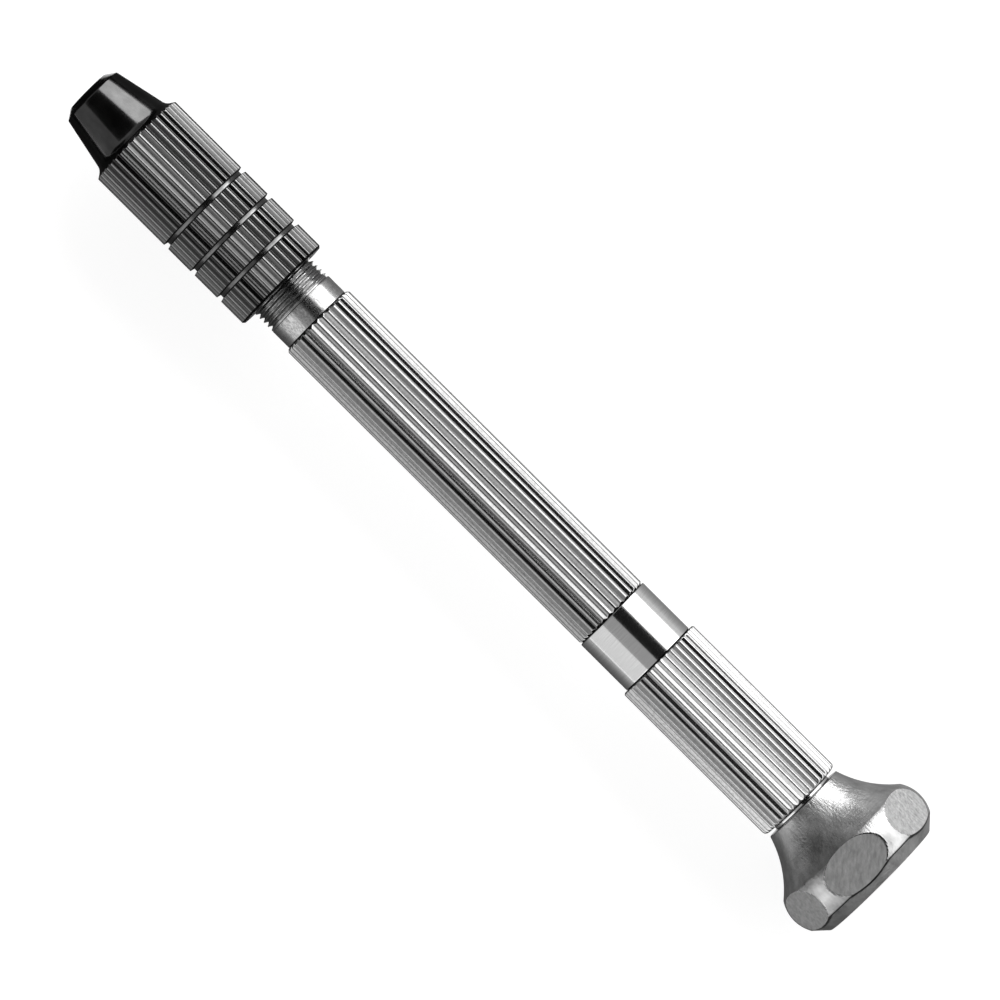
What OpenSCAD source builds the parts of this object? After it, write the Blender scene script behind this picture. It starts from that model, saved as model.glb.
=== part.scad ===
// Pin vise: a fluted hand tool that holds small drills and wire in a screwed collet chuck.
// Every piece is turned about one axis. Positions along it are measured from the tip of the nose.

/* [Whole tool] */
// Length from the tip of the nose to the end face of the palm head
tool_len = 111.8; // [108:0.1:120]
// Height of the tool's axis over the surface it lies on, which is the head's size across flats halved
axis_h = 8.1; // [7.8:0.05:8.4]
// Smoothness of round forms
round_steps = 96; // [48:24:144]

/* [Chuck sleeve] */
// Diameter over the flutes
sleeve_d = 10.96; // [10.6:0.02:11.6]
// Length of the sleeve, nose included
sleeve_len = 27.45; // [26:0.05:28]
// Number of flutes
sleeve_flutes = 40; // [32:1:44]
// Depth of a flute
sleeve_flute_depth = 0.24; // [0.15:0.005:0.26]
// Turn of the flutes about the axis, in degrees
sleeve_turn = 4.0; // [0:0.1:9]
// Diameter of the nose at its tip face
nose_tip_d = 4.9; // [4.6:0.1:5.4]
// Diameter of the nose where its front chamfer ends
nose_front_d = 6.9; // [6.6:0.1:7.2]
// Diameter of the nose where it meets the fillet
nose_back_d = 9.3; // [8.8:0.1:9.6]
// Distance from the tip to the end of the front chamfer
nose_chamfer = 0.7; // [0.4:0.1:1]
// Distance from the tip to the foot of the shoulder behind the nose
nose_len = 6.37; // [6:0.01:6.6]
// Distance from the tip to the full diameter
grip_start = 6.87; // [6.7:0.01:7.6]
// Radius of the fillet at the foot of that shoulder
shoulder_r = 0.8; // [0.4:0.1:1]
// Distance from the tip to the first of three turned grooves
groove_start = 16.5; // [14:0.1:17]
// Distance between the turned grooves
groove_step = 3.73; // [3:0.01:4]
// Width of a turned groove at the surface
groove_w = 0.62; // [0.4:0.01:0.9]
// Width of a turned groove's floor
groove_floor = 0.38; // [0.1:0.01:0.4]
// Depth of a turned groove
groove_depth = 0.46; // [0.3:0.01:0.5]
// Diameter of the opening in the nose
nose_hole_d = 3.7; // [3.6:0.05:4]

/* [Collets] */
// Diameter of a collet's body
collet_d = 5.0; // [4.9:0.05:5.1]
// Length of a collet
collet_len = 24.0; // [23:0.5:24]
// Diameter of a collet at either end
collet_tip_d = 3.4; // [3:0.1:3.5]
// Length of the cone at either end
collet_cone = 4.0; // [3.8:0.1:4.2]
// Length of the jaws at either end
jaw_len = 9.0; // [6:0.5:10]
// Width of the slits between the jaws
slit_w = 0.35; // [0.2:0.05:0.5]
// Bore of the collet in use, at its front end
bore_d = 1.6; // [1:0.1:2.2]
// Bore of the collet in use, at its rear end
rear_bore_d = 0.9; // [0.6:0.1:1.5]
// Bore of the spare collet, at its front end
spare_bore_d = 3.0; // [1.6:0.1:3]
// Bore of the spare collet, at its rear end
spare_rear_bore_d = 2.3; // [1:0.1:2.4]

/* [Barrel] */
// Diameter of the front thread and the smooth collar
collar_d = 7.9; // [7.7:0.05:8.1]
// Distance from the nose tip to the barrel's front end, inside the sleeve
barrel_front = 13.0; // [12.6:0.1:14]
// Distance from the nose tip to the end of the front thread
thread_end = 30.1; // [29:0.1:30.4]
// Pitch of the front thread
thread_pitch = 0.57; // [0.5:0.01:0.7]
// Depth of the front thread
thread_depth = 0.38; // [0.25:0.01:0.4]
// Distance from the nose tip to the fluted grip
grip_front = 32.4; // [32:0.1:33]
// Diameter over the barrel's flutes
barrel_d = 8.65; // [8.3:0.05:8.7]
// Number of flutes on the barrel
barrel_flutes = 32; // [24:1:34]
// Depth of a flute on the barrel
barrel_flute_depth = 0.235; // [0.15:0.005:0.26]
// Turn of the barrel's flutes about the axis, in degrees
barrel_turn = 4.7; // [0:0.1:11]
// Distance from the nose tip to the smooth ring
ring_front = 73.95; // [70:0.1:75]
// Diameter of the smooth ring
ring_d = 8.8; // [8.7:0.05:9.2]
// Distance from the nose tip to the end of the ring, where the handle starts
ring_end = 80.45; // [79:0.1:81]
// Diameter of the hole through the barrel
through_d = 3.3; // [2.4:0.1:3.4]
// Diameter of the threaded tail inside the handle
tail_d = 7.0; // [6.8:0.1:7.2]
// Length of the threaded tail
tail_len = 8.2; // [7:0.1:8.4]
// Pitch of the tail thread
tail_pitch = 0.75; // [0.6:0.01:1]

/* [Rear handle] */
// Diameter over the handle's flutes
handle_d = 9.8; // [9.4:0.05:10.2]
// Number of flutes on the handle
handle_flutes = 40; // [32:1:44]
// Depth of a flute on the handle
handle_flute_depth = 0.21; // [0.15:0.005:0.24]
// Turn of the handle's flutes about the axis, in degrees
handle_turn = 0.5; // [0:0.1:9]
// Distance from the nose tip to the handle's rear end
handle_end = 100.5; // [100:0.1:101]
// Diameter of the store for the spare collet
store_d = 5.8; // [5.6:0.1:5.9]
// Thickness of the handle's rear wall
rear_wall = 2.0; // [1.6:0.1:2.2]

/* [Palm head] */
// Diameter of the head's neck
neck_d = 9.3; // [8.8:0.05:9.6]
// Largest diameter of the crowned rim, over its corners
rim_d = 17.86; // [17.4:0.02:18]
// Radius of the rim's crown along the axis
crown_r = 3.9; // [3.5:0.1:6]
// Distance from the end face to the highest point of the crown
crown_back = 3.25; // [3:0.01:3.4]
// Diameter of the flat end face
end_d = 14.0; // [12:0.1:14.5]
// Radius of the hollow flare
flare_r = 11.3; // [10:0.1:16]
// Distance from the end face to the front edge of the rim
rim_front_back = 5.42; // [5:0.01:5.6]
// Distance from the end face to the rear edge of the rim
rim_rear_back = 1.33; // [1:0.01:1.5]
// Diameter of the spindle
spindle_d = 3.0; // [2.8:0.1:3.2]
// Diameter of the thrust washer
washer_d = 7.3; // [6.6:0.1:7.8]
// Thickness of the thrust washer
washer_t = 0.32; // [0.2:0.01:0.34]

/* [Hidden] */
$fn = round_steps;

big = 30;              // wider than anything on the tool
run_fit = 0.03;        // radial gap of a running fit
screw_fit = 0.05;      // radial gap between a thread's crests and the bore around it
cone_gap = 0.05;       // endwise gap that keeps a collet's cones off their seats
flute_slope = 37;      // degrees that a flute's sides fall from the rib
flute_floor = 0.03;    // half the width of a flute's floor
edge = 0.25;           // chamfer at the ends of the barrel's grip
sleeve_edge = 0.12;    // chamfer at the rear end of the sleeve

bore_r = collar_d / 2 + screw_fit;           // bore of the sleeve over the front thread
bore_start = barrel_front - 0.4;             // where that bore starts
socket_r = collet_d / 2 + 0.08;              // socket of the collet in the barrel and the sleeve
cone_slope = (collet_d - collet_tip_d) / 2 / collet_cone;
collet_front = 0.25;                         // tip of the collet, just inside the nose face
collet_rear = collet_front + collet_len;
seat_start = collet_rear - collet_cone + cone_gap;

store_front = 71.6;                          // front end of the spare collet's store in the barrel
tail_end = ring_end + tail_len;
socket_end = tail_end + 0.3;                 // end of the handle's threaded socket
wall_front = handle_end - rear_wall;
spare_front = store_front + 0.3;
spare_drop = (store_d - collet_d) / 2 - 0.04;  // the loose collet lies on the floor of its store

neck_front = handle_end + 0.42;              // front face of the palm head
rim_front = tool_len - rim_front_back;
rim_rear = tool_len - rim_rear_back;
crown_z = tool_len - crown_back;
bush_flange_t = 0.5;
bush_front = wall_front - bush_flange_t;
clip_washer_t = 0.3;
clip_t = 0.4;
clip_washer_front = bush_front - 0.03 - clip_washer_t;
clip_front = clip_washer_front - 0.02 - clip_t;
spindle_front = clip_front - 0.45;
spindle_depth = 7.0;                         // how far the spindle is pressed into the head
clip_groove_r = spindle_d / 2 - 0.3;

// Stands the tool's axis along X at its height, with the middle of the tool over the origin
module on_axis() {
    translate([-tool_len / 2, 0, axis_h]) rotate([0, 90, 0]) children();
}

// A tube or disc from one place on the axis to another
module tube(r_out, r_in, from, to) {
    translate([0, 0, from]) difference() {
        cylinder(r = r_out, h = to - from);
        translate([0, 0, -1]) cylinder(r = r_in, h = to - from + 2);
    }
}

// Outline of a fluted bar: narrow ribs between wide V-shaped flutes
module fluted_outline(d, count, depth, turn) {
    rise = 0.05;
    mouth = flute_floor + (depth + rise) / tan(flute_slope);
    difference() {
        circle(d = d);
        for (i = [0 : count - 1]) rotate(turn + i * 360 / count) translate([d / 2, 0])
            polygon([[rise, mouth], [-depth, flute_floor],
                     [-depth, -flute_floor], [rise, -mouth]]);
    }
}

// A bar that is fluted from one place to another, and lets everything past on either side of it
module flute_bar(d, count, depth, turn, from, to, front, rear) {
    translate([0, 0, front]) cylinder(d = big, h = from - front);
    translate([0, 0, from]) linear_extrude(to - from) fluted_outline(d, count, depth, turn);
    translate([0, 0, to]) cylinder(d = big, h = rear - to);
}

// Outline points of a thread's V-shaped turns, from front to rear
function turns(r, depth, pitch, from, to) = [
    for (i = [0 : floor((to - from) / pitch) - 1]) each
        [[r - depth, from + i * pitch], [r, from + (i + 0.5) * pitch]],
    [r - depth, from + floor((to - from) / pitch) * pitch]
];

// The three turned grooves in the sleeve's grip
module turned_grooves() {
    for (i = [0 : 2]) translate([sleeve_d / 2, groove_start + i * groove_step])
        polygon([[0.1, -groove_w / 2 - 0.03], [-groove_depth, -groove_floor / 2],
                 [-groove_depth, groove_floor / 2], [0.1, groove_w / 2 + 0.03]]);
}

// Half section of the sleeve's outside, with a fillet between the nose's taper and the shoulder
module sleeve_section() {
    r = sleeve_d / 2;
    foot = [nose_back_d / 2, nose_len];
    taper = foot - [nose_front_d / 2, nose_chamfer];
    shoulder = [r, grip_start] - foot;
    lean = atan2(taper.x, taper.y);
    reach = shoulder_r * tan((atan2(shoulder.x, shoulder.y) - lean) / 2);
    start = foot - taper / norm(taper) * reach;
    difference() {
        polygon([[0, 0], [nose_tip_d / 2, 0], [nose_front_d / 2, nose_chamfer], start,
                 foot + shoulder / norm(shoulder) * reach, [r, grip_start],
                 [r, sleeve_len - sleeve_edge], [r - sleeve_edge, sleeve_len], [0, sleeve_len]]);
        translate(start + shoulder_r * [cos(lean), -sin(lean)]) circle(r = shoulder_r);
        turned_grooves();
    }
}

// Half section of the hollow in the sleeve: nose hole, collet cone, collet bore and thread bore
module sleeve_hollow() {
    cone_end = collet_front + collet_cone - cone_gap;
    polygon([[0, -1], [nose_hole_d / 2, -1],
             [nose_hole_d / 2, cone_end - (socket_r - nose_hole_d / 2) / cone_slope],
             [socket_r, cone_end], [socket_r, bore_start], [bore_r, bore_start],
             [bore_r, sleeve_len - 0.3], [bore_r + 0.3, sleeve_len],
             [bore_r + 0.3, sleeve_len + 1], [0, sleeve_len + 1]]);
}

module chuck_sleeve() {
    color("#2c2c2e") on_axis() intersection() {
        rotate_extrude() difference() {
            sleeve_section();
            sleeve_hollow();
        }
        flute_bar(sleeve_d, sleeve_flutes, sleeve_flute_depth, sleeve_turn,
                  nose_len, sleeve_len + 1, -1, sleeve_len + 2);
    }
}

// A double-ended collet: a cone, four jaws and a bore of its own size at each end
module double_collet(front_bore_d, end_bore_d) {
    r = collet_d / 2;
    tip = collet_tip_d / 2;
    difference() {
        rotate_extrude() polygon([[0, 0], [tip, 0], [r, collet_cone],
                                  [r, collet_len - collet_cone], [tip, collet_len],
                                  [0, collet_len]]);
        translate([0, 0, -1]) cylinder(d = front_bore_d, h = collet_len / 2 + 1);
        translate([0, 0, collet_len / 2 - 0.01])
            cylinder(d = end_bore_d, h = collet_len / 2 + 1);
        for (turn = [0, 90], from = [-1, collet_len - jaw_len])
            rotate(turn + 45) translate([-slit_w / 2, -r - 1, from])
                cube([slit_w, 2 * r + 2, jaw_len + 1]);
    }
}

module collet() {
    color("#8d8f92") on_axis() translate([0, 0, collet_front])
        double_collet(bore_d, rear_bore_d);
}

module spare_collet() {
    color("#8d8f92") translate([0, 0, -spare_drop]) on_axis() translate([0, 0, spare_front])
        double_collet(spare_bore_d, spare_rear_bore_d);
}

// Half section of the barrel's outside: front thread, collar, grip, ring and tail thread
module barrel_section() {
    grip_r = barrel_d / 2;
    ring_r = ring_d / 2;
    tail_r = tail_d / 2;
    front = turns(collar_d / 2, thread_depth, thread_pitch, barrel_front, thread_end);
    tail = turns(tail_r, 0.4, tail_pitch, ring_end + 0.2, tail_end);
    polygon(concat(
        [[0, barrel_front]], front,
        [[collar_d / 2 - thread_depth, thread_end], [collar_d / 2, thread_end + 0.15],
         [collar_d / 2, grip_front], [grip_r - edge, grip_front], [grip_r, grip_front + edge],
         [grip_r, ring_front - edge], [grip_r - edge, ring_front],
         [ring_r - 0.08, ring_front], [ring_r, ring_front + 0.08], [ring_r, ring_end - 0.08],
         [ring_r - 0.08, ring_end], [tail_r - 0.4, ring_end]],
        tail, [[tail_r - 0.4, tail_end], [0, tail_end]]));
}

// Half section of the hollow in the barrel: collet socket and seat, through hole, spare's store
module barrel_hollow() {
    through_r = through_d / 2;
    polygon([[0, barrel_front - 1], [socket_r + 0.2, barrel_front - 1],
             [socket_r + 0.2, barrel_front], [socket_r, barrel_front + 0.2],
             [socket_r, seat_start],
             [through_r, seat_start + (socket_r - through_r) / cone_slope],
             [through_r, store_front], [store_d / 2, store_front],
             [store_d / 2, tail_end + 1], [0, tail_end + 1]]);
}

module barrel() {
    color("#c9ccd0") on_axis() intersection() {
        rotate_extrude() difference() {
            barrel_section();
            barrel_hollow();
        }
        flute_bar(barrel_d, barrel_flutes, barrel_flute_depth, barrel_turn,
                  grip_front - 0.01, ring_front, barrel_front - 1, tail_end + 1);
    }
}

// Half section of the rear handle: threaded socket, store, and a rear wall with the bush's hole
module handle_section() {
    r = handle_d / 2;
    socket = tail_d / 2 + screw_fit;
    hole = spindle_d / 2 + 0.7;
    round_r = 0.45;
    difference() {
        union() {
            polygon([[0, ring_end + 0.05], [r - 0.15, ring_end + 0.05], [r, ring_end + 0.2],
                     [r, handle_end - round_r], [r - round_r, handle_end - round_r],
                     [r - round_r, handle_end], [0, handle_end]]);
            translate([r - round_r, handle_end - round_r]) circle(r = round_r);
        }
        translate([-1, ring_end - 1]) square([socket + 1, socket_end - ring_end + 1]);
        translate([-1, socket_end - 1]) square([store_d / 2 + 1, wall_front - socket_end + 1]);
        translate([-1, wall_front - 1]) square([hole + 1, rear_wall + 2]);
    }
}

module rear_handle() {
    color("#c4c7cb") on_axis() intersection() {
        rotate_extrude() handle_section();
        translate([0, 0, ring_end - 1]) linear_extrude(handle_end - ring_end + 2)
            fluted_outline(handle_d, handle_flutes, handle_flute_depth, handle_turn);
    }
}

// Bearing bush in the handle's rear wall, with its flange on the inside
module end_bush() {
    r_in = spindle_d / 2 + run_fit;
    color("#b08d4f") on_axis() {
        tube(spindle_d / 2 + 0.7, r_in, wall_front, handle_end);
        tube(store_d / 2 - 0.1, r_in, bush_front, wall_front);
    }
}

module thrust_washer() {
    color("#dfe1e4") on_axis() tube(washer_d / 2, spindle_d / 2 + run_fit,
                                    neck_front - 0.02 - washer_t, neck_front - 0.02);
}

// Pin that the head turns on: a groove for the clip at its front end, pressed in the head behind
module head_spindle() {
    r = spindle_d / 2;
    color("#9a9ca0") on_axis() rotate_extrude()
        polygon([[0, spindle_front], [r - 0.15, spindle_front], [r, spindle_front + 0.15],
                 [r, clip_front - 0.02], [clip_groove_r, clip_front - 0.02],
                 [clip_groove_r, clip_washer_front - 0.01], [r, clip_washer_front - 0.01],
                 [r, neck_front + spindle_depth], [0, neck_front + spindle_depth]]);
}

module clip_washer() {
    color("#8f9195") on_axis() tube(2.55, spindle_d / 2 + run_fit,
                                    clip_washer_front, clip_washer_front + clip_washer_t);
}

// Open spring ring in the spindle's groove
module retaining_clip() {
    gap = 1.3;
    color("#6f7175") on_axis() difference() {
        tube(2.3, clip_groove_r + 0.01, clip_front, clip_front + clip_t);
        translate([0, -gap / 2, clip_front - 1]) cube([4, gap, clip_t + 2]);
    }
}

// Radius of the crowned rim at a place on the axis
function crown_at(z) = rim_d / 2 - crown_r + sqrt(crown_r * crown_r - pow(z - crown_z, 2));

// Half section of the palm head: hollow flare, crowned rim and rear chamfer
module head_section() {
    neck = [neck_d / 2, neck_front];
    front = [crown_at(rim_front), rim_front];
    rear = [crown_at(rim_rear), rim_rear];
    chord = front - neck;
    half = norm(chord) / 2;
    flare_centre = (neck + front) / 2
        + [chord.y, -chord.x] / norm(chord) * sqrt(flare_r * flare_r - half * half);
    difference() {
        union() {
            polygon([[0, neck_front], neck, front, rear, [end_d / 2, tool_len], [0, tool_len]]);
            intersection() {
                translate([rim_d / 2 - crown_r, crown_z]) circle(r = crown_r);
                translate([0, rim_front]) square([rim_d, rim_rear - rim_front]);
            }
        }
        translate(flare_centre) circle(r = flare_r);
    }
}

module palm_head() {
    color("#b4b6ba") on_axis() difference() {
        intersection() {
            rotate_extrude() head_section();
            translate([0, 0, neck_front - 1]) rotate(30)
                cylinder(r = axis_h / cos(30), h = tool_len, $fn = 6);
        }
        translate([0, 0, neck_front - 1])
            cylinder(d = spindle_d, h = spindle_depth + 1);
    }
}

chuck_sleeve();
collet();
barrel();
spare_collet();
rear_handle();
end_bush();
thrust_washer();
head_spindle();
clip_washer();
retaining_clip();
palm_head();
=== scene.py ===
import math

import bpy
import numpy as np
from mathutils import Matrix, Vector


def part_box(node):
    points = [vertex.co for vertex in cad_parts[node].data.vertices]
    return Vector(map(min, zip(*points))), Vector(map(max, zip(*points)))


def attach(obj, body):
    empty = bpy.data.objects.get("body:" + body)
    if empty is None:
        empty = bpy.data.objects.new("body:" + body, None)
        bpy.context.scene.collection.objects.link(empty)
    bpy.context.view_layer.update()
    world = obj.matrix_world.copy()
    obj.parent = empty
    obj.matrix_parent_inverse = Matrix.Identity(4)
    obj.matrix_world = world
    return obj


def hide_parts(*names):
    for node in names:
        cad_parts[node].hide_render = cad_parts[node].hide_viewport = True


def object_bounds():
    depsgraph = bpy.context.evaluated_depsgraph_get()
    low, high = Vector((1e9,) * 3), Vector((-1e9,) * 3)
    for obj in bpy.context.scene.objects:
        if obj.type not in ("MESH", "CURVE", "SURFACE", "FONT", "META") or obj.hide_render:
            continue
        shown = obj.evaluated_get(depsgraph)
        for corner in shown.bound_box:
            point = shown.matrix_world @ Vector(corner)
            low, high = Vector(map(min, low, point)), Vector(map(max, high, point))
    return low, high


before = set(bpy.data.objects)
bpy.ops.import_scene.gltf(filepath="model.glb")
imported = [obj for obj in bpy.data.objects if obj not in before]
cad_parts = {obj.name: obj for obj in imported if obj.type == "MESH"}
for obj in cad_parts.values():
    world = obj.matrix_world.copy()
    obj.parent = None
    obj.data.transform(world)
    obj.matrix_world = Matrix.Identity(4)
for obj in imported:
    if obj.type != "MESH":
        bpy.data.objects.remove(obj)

mm = 0.001
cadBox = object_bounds()
noseX = cadBox[0].x
axisZ = (cadBox[0].z + cadBox[1].z) / 2
print("frame loaded,", len(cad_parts), "nodes")


def span(node):
    # front and rear end of a turned node, measured in mm from the tip of the nose, and its radius
    low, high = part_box(node)
    return (low.x - noseX) / mm, (high.x - noseX) / mm, (high.y - low.y) / 2 / mm


def linear(hexColour):
    # sRGB hex to the linear colour that the shaders take
    channels = [int(hexColour[i:i + 2], 16) / 255 for i in (1, 3, 5)]
    return [c / 12.92 if c <= 0.04045 else ((c + 0.055) / 1.055) ** 2.4 for c in channels] + [1.0]


def addNode(tree, kind, inputs=None, **settings):
    # a node with its settings, and its inputs either set to a value or linked to another node's output
    node = tree.nodes.new(kind)
    for name, value in settings.items():
        setattr(node, name, value)
    for name, value in (inputs or {}).items():
        if isinstance(value, bpy.types.NodeSocket):
            tree.links.new(value, node.inputs[name])
        else:
            node.inputs[name].default_value = value
    return node


def newMaterial(name):
    material = bpy.data.materials.new(name)
    material.use_nodes = True
    material.node_tree.nodes.clear()
    return material, material.node_tree


# Camera: straight down on the tool but for a small tilt, through a very long lens

camera = {
    "distance": 1.0,           # metres from the lens to the tool
    "tilt": 4.0,               # degrees off the vertical, towards the key light
    "slant": 44.87,            # degrees that the tool's axis falls to the right
    "picture": 1000,           # pixels from side to side
    "pixelsPerMm": 10.0,
    "middlePixel": (497.4, 499.6),  # where the point axisMiddle falls in the picture
    "axisMiddle": 1.9,         # mm behind the middle of the tool
    "sensor": 36,              # mm
    "clip": (0.01, 20),        # metres
}


def makeCamera(c):
    tilt, slant = math.radians(c["tilt"]), math.radians(c["slant"])
    along = Vector((1, 0, 0))
    across = Vector((0, math.cos(tilt), -math.sin(tilt)))
    back = Vector((0, math.sin(tilt), math.cos(tilt)))
    right = along * math.cos(slant) + across * math.sin(slant)
    up = across * math.cos(slant) - along * math.sin(slant)
    pixel = mm / c["pixelsPerMm"]
    aim = Vector((c["axisMiddle"] * mm, 0, axisZ))
    half = c["picture"] / 2
    aim += right * (half - c["middlePixel"][0]) * pixel - up * (half - c["middlePixel"][1]) * pixel
    data = bpy.data.cameras.new("camera")
    data.sensor_width = c["sensor"]
    data.lens = data.sensor_width * c["distance"] / (c["picture"] * pixel)
    data.clip_start, data.clip_end = c["clip"]
    shot = bpy.data.objects.new("camera", data)
    shot.matrix_world = Matrix((right, up, back)).transposed().to_4x4()
    shot.location = aim + back * c["distance"]
    bpy.context.scene.collection.objects.link(shot)
    bpy.context.scene.camera = shot


makeCamera(camera)
bpy.context.scene.view_settings.view_transform = "Standard"


# Light: a row of soft boxes stands on each side of the tool, with dark cards above, below and beyond it

studio = {
    # metres; where one box stands in front of another, their light adds up
    "boxes": {
        "key": {"y": 0.35, "x": (-0.06, 0.068), "z": (0.0, 0.46), "radiance": 2.1},
        "keyBesideHead": {"y": 0.35, "x": (0.068, 0.90), "z": (0.0, 0.46), "radiance": 1.8},
        "keyBesideNose": {"y": 0.35, "x": (-0.35, -0.06), "z": (0.0, 0.46), "radiance": 4.0},
        "keyFoot": {"y": 0.345, "x": (-0.040, 0.064), "z": (0.0, 0.15), "radiance": 1.0},
        "keyFootBesideSleeve": {"y": 0.345, "x": (-0.15, -0.040), "z": (0.0, 0.12), "radiance": 3.5},
        "fill": {"y": -0.35, "x": (-0.17, 0.5), "z": (0.0, 0.52), "radiance": 0.54},
        "fillBesideNose": {"y": -0.345, "x": (-0.12, -0.068), "z": (0.1, 0.52), "radiance": 0.5},
        "fillBesideSleeve": {"y": -0.345, "x": (-0.068, -0.042), "z": (0.1, 0.52), "radiance": 0.8},
        "fillBesideHead": {"y": -0.345, "x": (0.056, 0.17), "z": (0.0, 0.52), "radiance": 0.8},
    },
    "sky": "#b2b2b2",          # the room, as the metal shows it
    # half the floor's side in metres, its colour, and how bright the camera and the metal see it
    "floor": {"half": 4.0, "colour": "#a8a8a8", "glow": 0.76},
    # cards that only the polished metal shows: corners x, y, z from and to, and how bright they are
    "cards": {
        "overhead": ((-0.36, 0.012, 0.5), (0.6, 0.40, 0.5), 0.012),
        "beyondNose": ((-0.36, -0.30, 0.5), (-0.15, 0.012, 0.5), 0.012),
        "farWall": ((-0.8, -0.5, 0.0), (-0.8, 0.5, 0.5), 0.3),
        "farCorner": ((-0.6, -0.62, 0.0), (-0.6, -0.12, 0.42), 0.03),
        "headShade": ((0.06, -0.006, 0.0006), (0.13, 0.006, 0.0006), 0.04),
        "noseFloor": ((-0.35, -0.2, 0.0005), (-0.064, 0.06, 0.0005), 0.02),
        "headFloor": ((0.062, -0.08, 0.0004), (0.3, 0.08, 0.0004), 0.2),
    },
    # grey cards beside the tool, which its flanks show, darker near the tool as a painted shadow of the tool
    # on the floor; pairs are for the left and the right card
    "flags": {
        "near": 5.0,           # mm from the axis to where they start
        "full": (50.0, 34.0),  # mm to where they are brightest
        "far": 120.0,          # mm to where they end
        "dark": (0.07, 0.24),  # brightness where they start
        "light": (0.5, 0.85),  # brightness from "full" on
        "ends": (-0.2, 0.2),   # metres along the tool
        "height": 0.0004,      # metres
        "noseRamp": (-0.055, -0.015),  # metres along the tool where noseShare rises to the whole
        "noseShare": 0.16,
    },
}


def softBox(name, box):
    # a rectangular lamp on its edge, facing the tool; its power gives it the radiance asked for
    wide, high = box["x"][1] - box["x"][0], box["z"][1] - box["z"][0]
    data = bpy.data.lights.new(name, "AREA")
    data.shape = "RECTANGLE"
    data.size, data.size_y = wide, high
    data.energy = box["radiance"] * wide * high * math.pi
    lamp = bpy.data.objects.new(name, data)
    lamp.location = (sum(box["x"]) / 2, box["y"], sum(box["z"]) / 2)
    lamp.rotation_euler = (math.radians(90 if box["y"] < 0 else -90), 0, 0)
    lamp.visible_camera = False
    bpy.context.scene.collection.objects.link(lamp)


def flatCard(name, start, end):
    # a flat card between two corners, level or standing across the tool
    if start[0] == end[0]:
        corners = [start, (start[0], end[1], start[2]), end, (start[0], start[1], end[2])]
    else:
        corners = [start, (end[0], start[1], start[2]), end, (start[0], end[1], start[2])]
    mesh = bpy.data.meshes.new(name)
    mesh.from_pydata(corners, [], [(0, 1, 2, 3)])
    card = bpy.data.objects.new(name, mesh)
    bpy.context.scene.collection.objects.link(card)
    return card


def reflectionCard(name, start, end, materialName):
    # a card that only reflections show; returns the node tree of its material
    card = flatCard(name, start, end)
    card.visible_camera = card.visible_diffuse = card.visible_shadow = False
    material, tree = newMaterial(materialName)
    card.data.materials.append(material)
    return tree


def glowAlone(tree, strength):
    glow = addNode(tree, "ShaderNodeEmission", {"Strength": strength})
    addNode(tree, "ShaderNodeOutputMaterial", {"Surface": glow.outputs[0]})


def makeFlags(f):
    # the grey cards are darker near the tool, a painted shadow of the tool on the floor that only reflections
    # show, and darker beside its nose
    for side, sign in enumerate((-1, 1)):
        reach = sorted((sign * f["near"] * mm, sign * f["far"] * mm))
        label = ("left", "right")[side]
        tree = reflectionCard(label + "Flag", (f["ends"][0], reach[0], f["height"]),
                              (f["ends"][1], reach[1], f["height"]), label + " grey card")
        place = addNode(tree, "ShaderNodeTexCoord")
        split = addNode(tree, "ShaderNodeSeparateXYZ", {0: place.outputs["Object"]})
        shade = addNode(tree, "ShaderNodeMapRange", {
            "Value": split.outputs["Y"],
            "From Min": sign * f["near"] * mm, "From Max": sign * f["full"][side] * mm,
            "To Min": f["dark"][side], "To Max": f["light"][side]})
        share = addNode(tree, "ShaderNodeMapRange", {
            "Value": split.outputs["X"], "From Min": f["noseRamp"][0], "From Max": f["noseRamp"][1],
            "To Min": f["noseShare"], "To Max": 1.0})
        shade = addNode(tree, "ShaderNodeMath", {
            0: shade.outputs[0], 1: share.outputs[0]}, operation="MULTIPLY")
        glowAlone(tree, shade.outputs[0])


def makeWorld(sky):
    # the room is pale grey to the metal and white to the camera
    world = bpy.data.worlds.new("studio")
    bpy.context.scene.world = world
    world.use_nodes = True
    tree = world.node_tree
    path = addNode(tree, "ShaderNodeLightPath")
    colour = addNode(tree, "ShaderNodeMix", {
        0: path.outputs["Is Camera Ray"], 6: linear(sky), 7: linear("#ffffff")}, data_type="RGBA")
    tree.links.new(colour.outputs[2], tree.nodes["Background"].inputs["Color"])


def makeFloor(f):
    # white paper that the lamps light softly; its glow shows to the camera and in metal, and lights nothing
    half = f["half"]
    floor = flatCard("floor", (-half, -half, 0), (half, half, 0))
    material, tree = newMaterial("white paper sweep")
    path = addNode(tree, "ShaderNodeLightPath")
    seen = addNode(tree, "ShaderNodeMath", {
        0: path.outputs["Is Camera Ray"], 1: path.outputs["Is Glossy Ray"]}, operation="MAXIMUM")
    seen = addNode(tree, "ShaderNodeMath", {
        0: seen.outputs[0], 1: path.outputs["Is Transmission Ray"]}, operation="MAXIMUM")
    strength = addNode(tree, "ShaderNodeMath", {
        0: seen.outputs[0], 1: f["glow"]}, operation="MULTIPLY")
    paper = addNode(tree, "ShaderNodeBsdfDiffuse", {"Color": linear(f["colour"])})
    glow = addNode(tree, "ShaderNodeEmission", {"Strength": strength.outputs[0]})
    both = addNode(tree, "ShaderNodeAddShader", {0: paper.outputs[0], 1: glow.outputs[0]})
    addNode(tree, "ShaderNodeOutputMaterial", {"Surface": both.outputs[0]})
    floor.data.materials.append(material)


for name, box in studio["boxes"].items():
    softBox(name, box)
for name, (start, end, brightness) in studio["cards"].items():
    glowAlone(reflectionCard(name, start, end, "velvet " + name), brightness)
makeFlags(studio["flags"])
makeWorld(studio["sky"])
makeFloor(studio["floor"])
print("camera and studio made")


# Turned shapes: rings of points about the tool's axis, joined one after the other into a closed skin

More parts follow.
